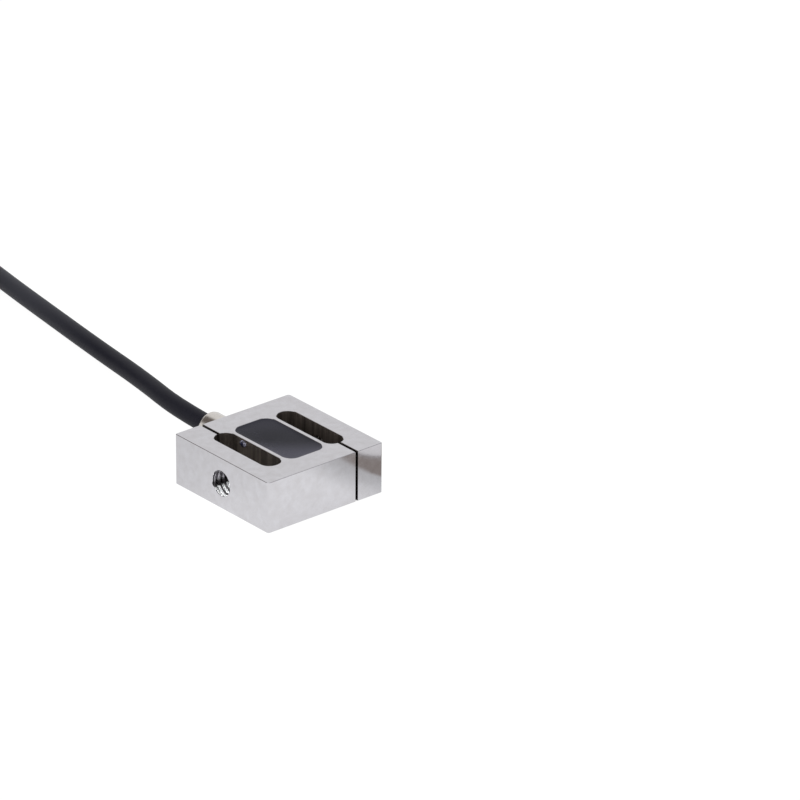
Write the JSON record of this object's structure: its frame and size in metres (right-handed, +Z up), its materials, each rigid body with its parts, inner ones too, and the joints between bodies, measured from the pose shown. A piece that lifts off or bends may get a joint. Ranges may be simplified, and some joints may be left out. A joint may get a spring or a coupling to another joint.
{
  "type": "s type load cell",
  "caption": "Miniature S type load cell: a ground steel S block with relief slots and slits, a resin filled gauge pocket, threaded ends and a thin shielded cable with bare ends.",
  "frame": {"origin": "centre of the lower ground face of the spring element, which the cell lies on", "axes": "+X along the load axis through the threaded holes, +Y out along the cable, +Z up through the thickness"},
  "size_m": [0.0308, 0.0843, 0.0128],
  "materials": {
    "ground_steel": "fine ground stainless steel",
    "resin": "dark grey potting resin, smooth and glossy",
    "nickel_plate": "turned brass, nickel plated",
    "cable_jacket": "matt black soft cable jacket",
    "tie_nylon": "black nylon",
    "shrink_sleeve": "black shrink tube",
    "core_red": "red wire insulation",
    "core_black": "black wire insulation",
    "core_green": "green wire insulation",
    "core_white": "white wire insulation",
    "tinned_wire": "tinned copper",
    "board_laminate": "glass fibre laminate with copper pads",
    "chip_ceramic": "ceramic chip resistor with tinned ends",
    "solder": "solder",
    "gauge_film": "metal foil grid on amber film",
    "enamelled_wire": "enamelled copper wire"
  },
  "bodies": {
    "root": {"spring_body": "ground_steel", "potting": "resin", "potting_bead": "resin", "cable_ferrule": "nickel_plate", "cable_run": "cable_jacket", "cable_coil": "cable_jacket", "cable_tail": "cable_jacket", "coil_tie_1": "tie_nylon", "coil_tie_2": "tie_nylon", "end_sleeve": "shrink_sleeve", "end_drain": "tinned_wire", "bare_tips": "tinned_wire", "terminal_board": "board_laminate", "balance_resistor": "chip_ceramic", "span_resistor": "chip_ceramic", "solder_joints": "solder", "gauge_1": "gauge_film", "gauge_leads_1": "enamelled_wire", "gauge_2": "gauge_film", "gauge_leads_2": "enamelled_wire", "gauge_3": "gauge_film", "gauge_leads_3": "enamelled_wire", "gauge_4": "gauge_film", "gauge_leads_4": "enamelled_wire", "inner_core_red": "core_red", "end_core_red": "core_red", "inner_core_black": "core_black", "end_core_black": "core_black", "inner_core_green": "core_green", "end_core_green": "core_green", "inner_core_white": "core_white", "end_core_white": "core_white"}
  },
  "joints": []
}
